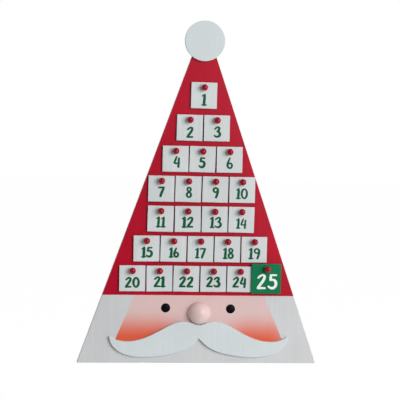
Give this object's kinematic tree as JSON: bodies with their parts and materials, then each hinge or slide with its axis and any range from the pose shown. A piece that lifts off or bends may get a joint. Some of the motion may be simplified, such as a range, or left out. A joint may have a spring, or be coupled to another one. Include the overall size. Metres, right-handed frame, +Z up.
{
  "type": "advent calendar",
  "caption": "Tall triangular wall board with a painted hat and face, and numbered square tiles hanging on push-in ball-headed pegs.",
  "frame": {"origin": "the point where the wall hook carries the sawtooth hanger, on the wall plane and on the board's centre line", "axes": "+X to the right seen from the front, +Y into the wall, +Z up; the painted front faces -Y"},
  "size_m": [0.41, 0.034, 0.5809],
  "materials": {
    "painted_board": "satin paint on fibreboard",
    "white_paint": "matt white paint on fibreboard",
    "tile_paint": "matt white paint on fibreboard",
    "green_paint": "satin green paint on fibreboard",
    "nose_paint": "satin paint on turned wood",
    "peg_gloss": "gloss lacquer on turned wood",
    "plated_steel": "plated",
    "bumper_rubber": "soft matt"
  },
  "bodies": {
    "board": {"board": "painted_board", "pompom_disc": "white_paint", "nose_dome": "nose_paint", "moustache": "white_paint", "sawtooth_hanger": "plated_steel", "nail_left": "plated_steel", "nail_right": "plated_steel", "bumper_left": "bumper_rubber", "bumper_right": "bumper_rubber"},
    "peg_01": {"peg_01": "peg_gloss"},
    "tile_01": {"tile_01": "tile_paint"},
    "peg_02": {"peg_02": "peg_gloss"},
    "tile_02": {"tile_02": "tile_paint"},
    "peg_03": {"peg_03": "peg_gloss"},
    "tile_03": {"tile_03": "tile_paint"},
    "peg_04": {"peg_04": "peg_gloss"},
    "tile_04": {"tile_04": "tile_paint"},
    "peg_05": {"peg_05": "peg_gloss"},
    "tile_05": {"tile_05": "tile_paint"},
    "peg_06": {"peg_06": "peg_gloss"},
    "tile_06": {"tile_06": "tile_paint"},
    "peg_07": {"peg_07": "peg_gloss"},
    "tile_07": {"tile_07": "tile_paint"},
    "peg_08": {"peg_08": "peg_gloss"},
    "tile_08": {"tile_08": "tile_paint"},
    "peg_09": {"peg_09": "peg_gloss"},
    "tile_09": {"tile_09": "tile_paint"},
    "peg_10": {"peg_10": "peg_gloss"},
    "tile_10": {"tile_10": "tile_paint"},
    "peg_11": {"peg_11": "peg_gloss"},
    "tile_11": {"tile_11": "tile_paint"},
    "peg_12": {"peg_12": "peg_gloss"},
    "tile_12": {"tile_12": "tile_paint"},
    "peg_13": {"peg_13": "peg_gloss"},
    "tile_13": {"tile_13": "tile_paint"},
    "peg_14": {"peg_14": "peg_gloss"},
    "tile_14": {"tile_14": "tile_paint"},
    "peg_15": {"peg_15": "peg_gloss"},
    "tile_15": {"tile_15": "tile_paint"},
    "peg_16": {"peg_16": "peg_gloss"},
    "tile_16": {"tile_16": "tile_paint"},
    "peg_17": {"peg_17": "peg_gloss"},
    "tile_17": {"tile_17": "tile_paint"},
    "peg_18": {"peg_18": "peg_gloss"},
    "tile_18": {"tile_18": "tile_paint"},
    "peg_19": {"peg_19": "peg_gloss"},
    "tile_19": {"tile_19": "tile_paint"},
    "peg_20": {"peg_20": "peg_gloss"},
    "tile_20": {"tile_20": "tile_paint"},
    "peg_21": {"peg_21": "peg_gloss"},
    "tile_21": {"tile_21": "tile_paint"},
    "peg_22": {"peg_22": "peg_gloss"},
    "tile_22": {"tile_22": "tile_paint"},
    "peg_23": {"peg_23": "peg_gloss"},
    "tile_23": {"tile_23": "tile_paint"},
    "peg_24": {"peg_24": "peg_gloss"},
    "tile_24": {"tile_24": "tile_paint"},
    "peg_25": {"peg_25": "peg_gloss"},
    "tile_25": {"tile_25": "green_paint"}
  },
  "joints": [
    {"name": "peg_01_pull", "type": "slide", "parent": "board", "child": "peg_01", "axis": [0, -1, 0], "range_m": [0, 0.0095]},
    {"name": "tile_01_swing", "type": "hinge", "parent": "board", "child": "tile_01", "pos_m": [0.0008, -0.0175, 0.0028], "axis": [0, 1, 0], "continuous": true},
    {"name": "peg_02_pull", "type": "slide", "parent": "board", "child": "peg_02", "axis": [0, -1, 0], "range_m": [0, 0.0095]},
    {"name": "tile_02_swing", "type": "hinge", "parent": "board", "child": "tile_02", "pos_m": [-0.0222, -0.0175, -0.052], "axis": [0, 1, 0], "range_deg": [-3.2, 60]},
    {"name": "peg_03_pull", "type": "slide", "parent": "board", "child": "peg_03", "axis": [0, -1, 0], "range_m": [0, 0.0095]},
    {"name": "tile_03_swing", "type": "hinge", "parent": "board", "child": "tile_03", "pos_m": [0.0238, -0.0175, -0.052], "axis": [0, 1, 0], "range_deg": [-65, 3.2]},
    {"name": "peg_04_pull", "type": "slide", "parent": "board", "child": "peg_04", "axis": [0, -1, 0], "range_m": [0, 0.0095]},
    {"name": "tile_04_swing", "type": "hinge", "parent": "board", "child": "tile_04", "pos_m": [-0.0452, -0.0175, -0.1048], "axis": [0, 1, 0], "range_deg": [-1.9, 20]},
    {"name": "peg_05_pull", "type": "slide", "parent": "board", "child": "peg_05", "axis": [0, -1, 0], "range_m": [0, 0.0095]},
    {"name": "tile_05_swing", "type": "hinge", "parent": "board", "child": "tile_05", "pos_m": [0.0008, -0.0175, -0.1048], "axis": [0, 1, 0], "range_deg": [-3.7, 1.9]},
    {"name": "peg_06_pull", "type": "slide", "parent": "board", "child": "peg_06", "axis": [0, -1, 0], "range_m": [0, 0.0095]},
    {"name": "tile_06_swing", "type": "hinge", "parent": "board", "child": "tile_06", "pos_m": [0.0468, -0.0175, -0.1048], "axis": [0, 1, 0], "range_deg": [-60, 3.7]},
    {"name": "peg_07_pull", "type": "slide", "parent": "board", "child": "peg_07", "axis": [0, -1, 0], "range_m": [0, 0.0095]},
    {"name": "tile_07_swing", "type": "hinge", "parent": "board", "child": "tile_07", "pos_m": [-0.0682, -0.0175, -0.1556], "axis": [0, 1, 0], "range_deg": [-2.2, 30]},
    {"name": "peg_08_pull", "type": "slide", "parent": "board", "child": "peg_08", "axis": [0, -1, 0], "range_m": [0, 0.0095]},
    {"name": "tile_08_swing", "type": "hinge", "parent": "board", "child": "tile_08", "pos_m": [-0.0222, -0.0175, -0.1556], "axis": [0, 1, 0], "range_deg": [-2.8, 2.2]},
    {"name": "peg_09_pull", "type": "slide", "parent": "board", "child": "peg_09", "axis": [0, -1, 0], "range_m": [0, 0.0095]},
    {"name": "tile_09_swing", "type": "hinge", "parent": "board", "child": "tile_09", "pos_m": [0.0238, -0.0175, -0.1556], "axis": [0, 1, 0], "range_deg": [-3.3, 2.8]},
    {"name": "peg_10_pull", "type": "slide", "parent": "board", "child": "peg_10", "axis": [0, -1, 0], "range_m": [0, 0.0095]},
    {"name": "tile_10_swing", "type": "hinge", "parent": "board", "child": "tile_10", "pos_m": [0.0698, -0.0175, -0.1556], "axis": [0, 1, 0], "range_deg": [-30, 3.3]},
    {"name": "peg_11_pull", "type": "slide", "parent": "board", "child": "peg_11", "axis": [0, -1, 0], "range_m": [0, 0.0095]},
    {"name": "tile_11_swing", "type": "hinge", "parent": "board", "child": "tile_11", "pos_m": [-0.0682, -0.0175, -0.2064], "axis": [0, 1, 0], "range_deg": [-3.8, 15]},
    {"name": "peg_12_pull", "type": "slide", "parent": "board", "child": "peg_12", "axis": [0, -1, 0], "range_m": [0, 0.0095]},
    {"name": "tile_12_swing", "type": "hinge", "parent": "board", "child": "tile_12", "pos_m": [-0.0222, -0.0175, -0.2064], "axis": [0, 1, 0], "range_deg": [-2.3, 3.8]},
    {"name": "peg_13_pull", "type": "slide", "parent": "board", "child": "peg_13", "axis": [0, -1, 0], "range_m": [0, 0.0095]},
    {"name": "tile_13_swing", "type": "hinge", "parent": "board", "child": "tile_13", "pos_m": [0.0238, -0.0175, -0.2064], "axis": [0, 1, 0], "range_deg": [-2, 2.3]},
    {"name": "peg_14_pull", "type": "slide", "parent": "board", "child": "peg_14", "axis": [0, -1, 0], "range_m": [0, 0.0095]},
    {"name": "tile_14_swing", "type": "hinge", "parent": "board", "child": "tile_14", "pos_m": [0.0698, -0.0175, -0.2064], "axis": [0, 1, 0], "range_deg": [-15, 2]},
    {"name": "peg_15_pull", "type": "slide", "parent": "board", "child": "peg_15", "axis": [0, -1, 0], "range_m": [0, 0.0095]},
    {"name": "tile_15_swing", "type": "hinge", "parent": "board", "child": "tile_15", "pos_m": [-0.0912, -0.0175, -0.2572], "axis": [0, 1, 0], "range_deg": [-1.9, 50]},
    {"name": "peg_16_pull", "type": "slide", "parent": "board", "child": "peg_16", "axis": [0, -1, 0], "range_m": [0, 0.0095]},
    {"name": "tile_16_swing", "type": "hinge", "parent": "board", "child": "tile_16", "pos_m": [-0.0452, -0.0175, -0.2572], "axis": [0, 1, 0], "range_deg": [-3, 1.9]},
    {"name": "peg_17_pull", "type": "slide", "parent": "board", "child": "peg_17", "axis": [0, -1, 0], "range_m": [0, 0.0095]},
    {"name": "tile_17_swing", "type": "hinge", "parent": "board", "child": "tile_17", "pos_m": [0.0008, -0.0175, -0.2572], "axis": [0, 1, 0], "range_deg": [-2.5, 3]},
    {"name": "peg_18_pull", "type": "slide", "parent": "board", "child": "peg_18", "axis": [0, -1, 0], "range_m": [0, 0.0095]},
    {"name": "tile_18_swing", "type": "hinge", "parent": "board", "child": "tile_18", "pos_m": [0.0468, -0.0175, -0.2572], "axis": [0, 1, 0], "range_deg": [-2.9, 2.5]},
    {"name": "peg_19_pull", "type": "slide", "parent": "board", "child": "peg_19", "axis": [0, -1, 0], "range_m": [0, 0.0095]},
    {"name": "tile_19_swing", "type": "hinge", "parent": "board", "child": "tile_19", "pos_m": [0.0928, -0.0175, -0.2572], "axis": [0, 1, 0], "range_deg": [-45, 2.9]},
    {"name": "peg_20_pull", "type": "slide", "parent": "board", "child": "peg_20", "axis": [0, -1, 0], "range_m": [0, 0.0095]},
    {"name": "tile_20_swing", "type": "hinge", "parent": "board", "child": "tile_20", "pos_m": [-0.1142, -0.0175, -0.308], "axis": [0, 1, 0], "range_deg": [-3.1, 55]},
    {"name": "peg_21_pull", "type": "slide", "parent": "board", "child": "peg_21", "axis": [0, -1, 0], "range_m": [0, 0.0095]},
    {"name": "tile_21_swing", "type": "hinge", "parent": "board", "child": "tile_21", "pos_m": [-0.0682, -0.0175, -0.308], "axis": [0, 1, 0], "range_deg": [-1.5, 3.1]},
    {"name": "peg_22_pull", "type": "slide", "parent": "board", "child": "peg_22", "axis": [0, -1, 0], "range_m": [0, 0.0095]},
    {"name": "tile_22_swing", "type": "hinge", "parent": "board", "child": "tile_22", "pos_m": [-0.0222, -0.0175, -0.308], "axis": [0, 1, 0], "range_deg": [-3.2, 1.5]},
    {"name": "peg_23_pull", "type": "slide", "parent": "board", "child": "peg_23", "axis": [0, -1, 0], "range_m": [0, 0.0095]},
    {"name": "tile_23_swing", "type": "hinge", "parent": "board", "child": "tile_23", "pos_m": [0.0238, -0.0175, -0.308], "axis": [0, 1, 0], "range_deg": [-2.2, 3.2]},
    {"name": "peg_24_pull", "type": "slide", "parent": "board", "child": "peg_24", "axis": [0, -1, 0], "range_m": [0, 0.0095]},
    {"name": "tile_24_swing", "type": "hinge", "parent": "board", "child": "tile_24", "pos_m": [0.0698, -0.0175, -0.308], "axis": [0, 1, 0], "range_deg": [-15, 2.2]},
    {"name": "peg_25_pull", "type": "slide", "parent": "board", "child": "peg_25", "axis": [0, -1, 0], "range_m": [0, 0.0095]},
    {"name": "tile_25_swing", "type": "hinge", "parent": "board", "child": "tile_25", "pos_m": [0.1158, -0.0175, -0.303], "axis": [0, 1, 0], "range_deg": [-90, 40]}
  ]
}
